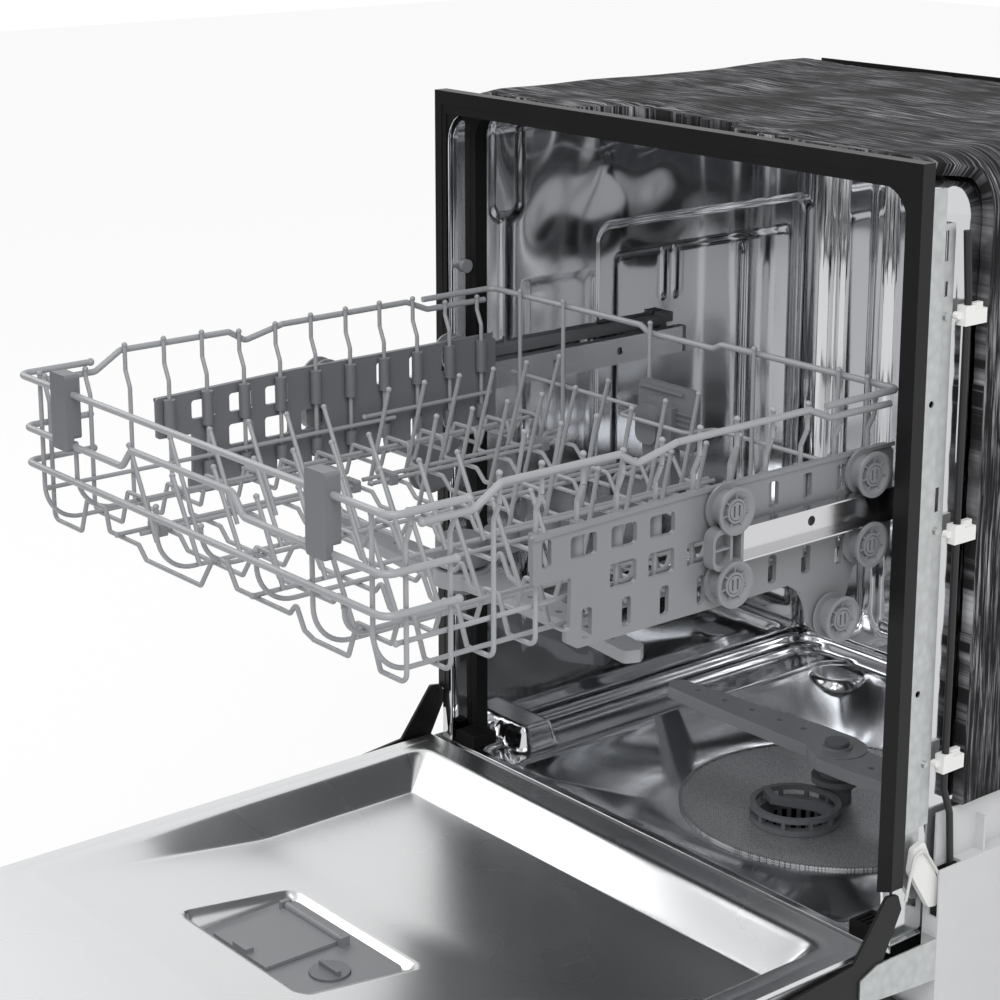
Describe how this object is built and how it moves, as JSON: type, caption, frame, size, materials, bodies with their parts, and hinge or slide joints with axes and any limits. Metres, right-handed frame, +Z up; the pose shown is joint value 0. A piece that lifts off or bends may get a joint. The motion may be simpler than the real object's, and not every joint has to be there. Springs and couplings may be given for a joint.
{
  "type": "built-in dishwasher",
  "caption": "Built-in dishwasher with a drop-down door, a steel tub, spray arms and an upper wire rack that rolls out on telescopic rails.",
  "frame": {"origin": "on the floor under the middle of the whole reach, door open", "axes": "+Z up, +Y to the rear of the body, +X to the right of the opening as seen from the front"},
  "size_m": [0.61, 1.283, 0.858],
  "materials": {
    "stainless": "polished, pressed sheet",
    "galvanised": "galvanised sheet",
    "black_plastic": "fine moulded grain",
    "black_rubber": "smooth extruded rubber",
    "dark_fibre": "pressed fibre mat with pale strands",
    "grey_nylon": "nylon coating on steel wire",
    "grey_plastic": "moulded, satin",
    "dark_grey_plastic": "moulded, satin",
    "light_grey_plastic": "moulded, satin",
    "white_plastic": "moulded, satin",
    "black_cable": "smooth jacket",
    "white_cord": "braided synthetic cord",
    "spring_steel": "oiled wire",
    "iron": "as cast",
    "door_sheet": "brushed sheet",
    "black_steel": "black paint"
  },
  "bodies": {
    "cabinet": {"tub_wrapper": "stainless", "tub_back": "stainless", "tub_floor": "stainless", "mesh_filter": "stainless", "lower_arm_mount": "dark_grey_plastic", "vent_cap": "grey_plastic", "docking_port": "dark_grey_plastic", "trim_top": "black_plastic", "trim_right": "black_plastic", "trim_left": "black_plastic", "door_gasket": "black_rubber", "side_posts": "galvanised", "insulation_blanket": "dark_fibre", "rear_channel": "black_steel", "base_pan": "light_grey_plastic", "kick_plate": "black_steel", "counterweight": "iron", "sump": "dark_grey_plastic", "circulation_pump": "dark_grey_plastic", "drain_pump": "dark_grey_plastic", "rail_guides": "dark_grey_plastic", "side_cable": "black_cable", "cable_clips": "white_plastic", "cord_guides": "white_plastic", "balance_cords": "white_cord", "door_springs": "spring_steel", "hinge_brackets": "galvanised"},
    "filter": {"filter_cylinder": "dark_grey_plastic"},
    "lower_arm": {"lower_spray_arm": "dark_grey_plastic"},
    "float": {"overflow_float": "white_plastic"},
    "front_left_foot": {"foot_front_left": "dark_grey_plastic"},
    "front_right_foot": {"foot_front_right": "dark_grey_plastic"},
    "rear_foot": {"foot_rear": "dark_grey_plastic"},
    "door": {"door_liner": "stainless", "door_panel": "door_sheet", "control_panel": "black_plastic", "hinge_arms": "black_steel", "dispenser_body": "grey_plastic", "latch": "black_plastic", "handle": "door_sheet"},
    "lid": {"dispenser_lid": "grey_plastic"},
    "rinse_cap": {"rinse_aid_cap": "dark_grey_plastic"},
    "power_button": {"button_power": "grey_plastic"},
    "start_button": {"button_start": "grey_plastic"},
    "rail_pair": {"rails": "stainless", "rail_caps": "grey_plastic"},
    "rack": {"rack_basket": "grey_nylon", "side_panel_left": "dark_grey_plastic", "side_panel_right": "grey_plastic", "front_clips": "dark_grey_plastic", "tine_holders": "dark_grey_plastic", "water_duct": "grey_plastic"},
    "front_tines": {"tine_row_front": "grey_nylon"},
    "rear_tines": {"tine_row_rear": "grey_nylon"},
    "upper_arm": {"upper_spray_arm": "dark_grey_plastic"},
    "wheels_upper_front": {"wheel_pair_upper_front": "grey_plastic"},
    "wheels_lower_front": {"wheel_pair_lower_front": "grey_plastic"},
    "wheels_upper_rear": {"wheel_pair_upper_rear": "grey_plastic"},
    "wheels_lower_rear": {"wheel_pair_lower_rear": "grey_plastic"},
    "wheels_bottom_rear": {"wheel_pair_bottom_rear": "grey_plastic"}
  },
  "joints": [
    {"name": "door_hinge", "type": "hinge", "parent": "cabinet", "child": "door", "pos_m": [0, 0.0385, 0.18], "axis": [-1, 0, 0], "range_deg": [0, 90], "deforming": ["balance_cords"]},
    {"name": "rail_slide", "type": "slide", "parent": "cabinet", "child": "rail_pair", "axis": [0, 1, 0], "range_m": [0, 0.186]},
    {"name": "rack_slide", "type": "slide", "parent": "rail_pair", "child": "rack", "axis": [0, 1, 0], "range_m": [0, 0.293]},
    {"name": "lower_arm_spin", "type": "hinge", "parent": "cabinet", "child": "lower_arm", "pos_m": [0, 0.3285, 0.205], "axis": [0, 0, 1], "continuous": true},
    {"name": "upper_arm_spin", "type": "hinge", "parent": "rack", "child": "upper_arm", "pos_m": [0, -0.1405, 0.494], "axis": [0, 0, 1], "continuous": true},
    {"name": "filter_twist", "type": "hinge", "parent": "cabinet", "child": "filter", "pos_m": [0.005, 0.2665, 0.16], "axis": [0, 0, 1], "range_deg": [0, 90]},
    {"name": "float_lift", "type": "slide", "parent": "cabinet", "child": "float", "axis": [0, 0, 1], "range_m": [0, 0.012]},
    {"name": "dispenser_lid_hinge", "type": "hinge", "parent": "door", "child": "lid", "pos_m": [-0.068, -0.2495, 0.1853], "axis": [-1, 0, 0], "range_deg": [0, 110]},
    {"name": "rinse_cap_turn", "type": "hinge", "parent": "door", "child": "rinse_cap", "pos_m": [0.006, -0.2855, 0.18], "axis": [0, 0, 1], "range_deg": [0, 90]},
    {"name": "power_press", "type": "slide", "parent": "door", "child": "power_button", "axis": [0, 1, 0], "range_m": [0, 0.0015], "stiffness_N_per_m": 400},
    {"name": "start_press", "type": "slide", "parent": "door", "child": "start_button", "axis": [0, 1, 0], "range_m": [0, 0.0015], "stiffness_N_per_m": 400},
    {"name": "front_tines_fold", "type": "hinge", "parent": "rack", "child": "front_tines", "pos_m": [-0.12, -0.2635, 0.5452], "axis": [0, -1, 0], "range_deg": [0, 50]},
    {"name": "rear_tines_fold", "type": "hinge", "parent": "rack", "child": "rear_tines", "pos_m": [-0.131, -0.0375, 0.5452], "axis": [0, -1, 0], "range_deg": [0, 75]},
    {"name": "foot_front_left_level", "type": "slide", "parent": "cabinet", "child": "front_left_foot", "axis": [0, 0, -1], "range_m": [0, 0.02]},
    {"name": "foot_front_right_level", "type": "slide", "parent": "cabinet", "child": "front_right_foot", "axis": [0, 0, -1], "range_m": [0, 0.02]},
    {"name": "foot_rear_level", "type": "slide", "parent": "cabinet", "child": "rear_foot", "axis": [0, 0, -1], "range_m": [0, 0.02]},
    {"name": "wheels_upper_front_roll", "type": "hinge", "parent": "rack", "child": "wheels_upper_front", "pos_m": [0, -0.0935, 0.6025], "axis": [-1, 0, 0], "range_deg": [0, 1201]},
    {"name": "wheels_lower_front_roll", "type": "hinge", "parent": "rack", "child": "wheels_lower_front", "pos_m": [0, -0.0935, 0.545], "axis": [1, 0, 0], "range_deg": [0, 1201]},
    {"name": "wheels_upper_rear_roll", "type": "hinge", "parent": "rack", "child": "wheels_upper_rear", "pos_m": [0, 0.0585, 0.6025], "axis": [-1, 0, 0], "range_deg": [0, 1201]},
    {"name": "wheels_lower_rear_roll", "type": "hinge", "parent": "rack", "child": "wheels_lower_rear", "pos_m": [0, 0.0585, 0.545], "axis": [1, 0, 0], "range_deg": [0, 1201]},
    {"name": "wheels_bottom_rear_roll", "type": "hinge", "parent": "rack", "child": "wheels_bottom_rear", "pos_m": [0, 0.0275, 0.49], "axis": [1, 0, 0], "range_deg": [0, 1201]}
  ],
  "couplings": [
    {"joint": "rail_slide", "follows": "door_hinge", "m_per_rad": 0.11778},
    {"joint": "rack_slide", "follows": "door_hinge", "m_per_rad": 0.18589},
    {"joint": "wheels_upper_front_roll", "follows": "door_hinge", "ratio": 13.278},
    {"joint": "wheels_lower_front_roll", "follows": "door_hinge", "ratio": 13.278},
    {"joint": "wheels_upper_rear_roll", "follows": "door_hinge", "ratio": 13.278},
    {"joint": "wheels_lower_rear_roll", "follows": "door_hinge", "ratio": 13.278},
    {"joint": "wheels_bottom_rear_roll", "follows": "door_hinge", "ratio": 13.278}
  ]
}
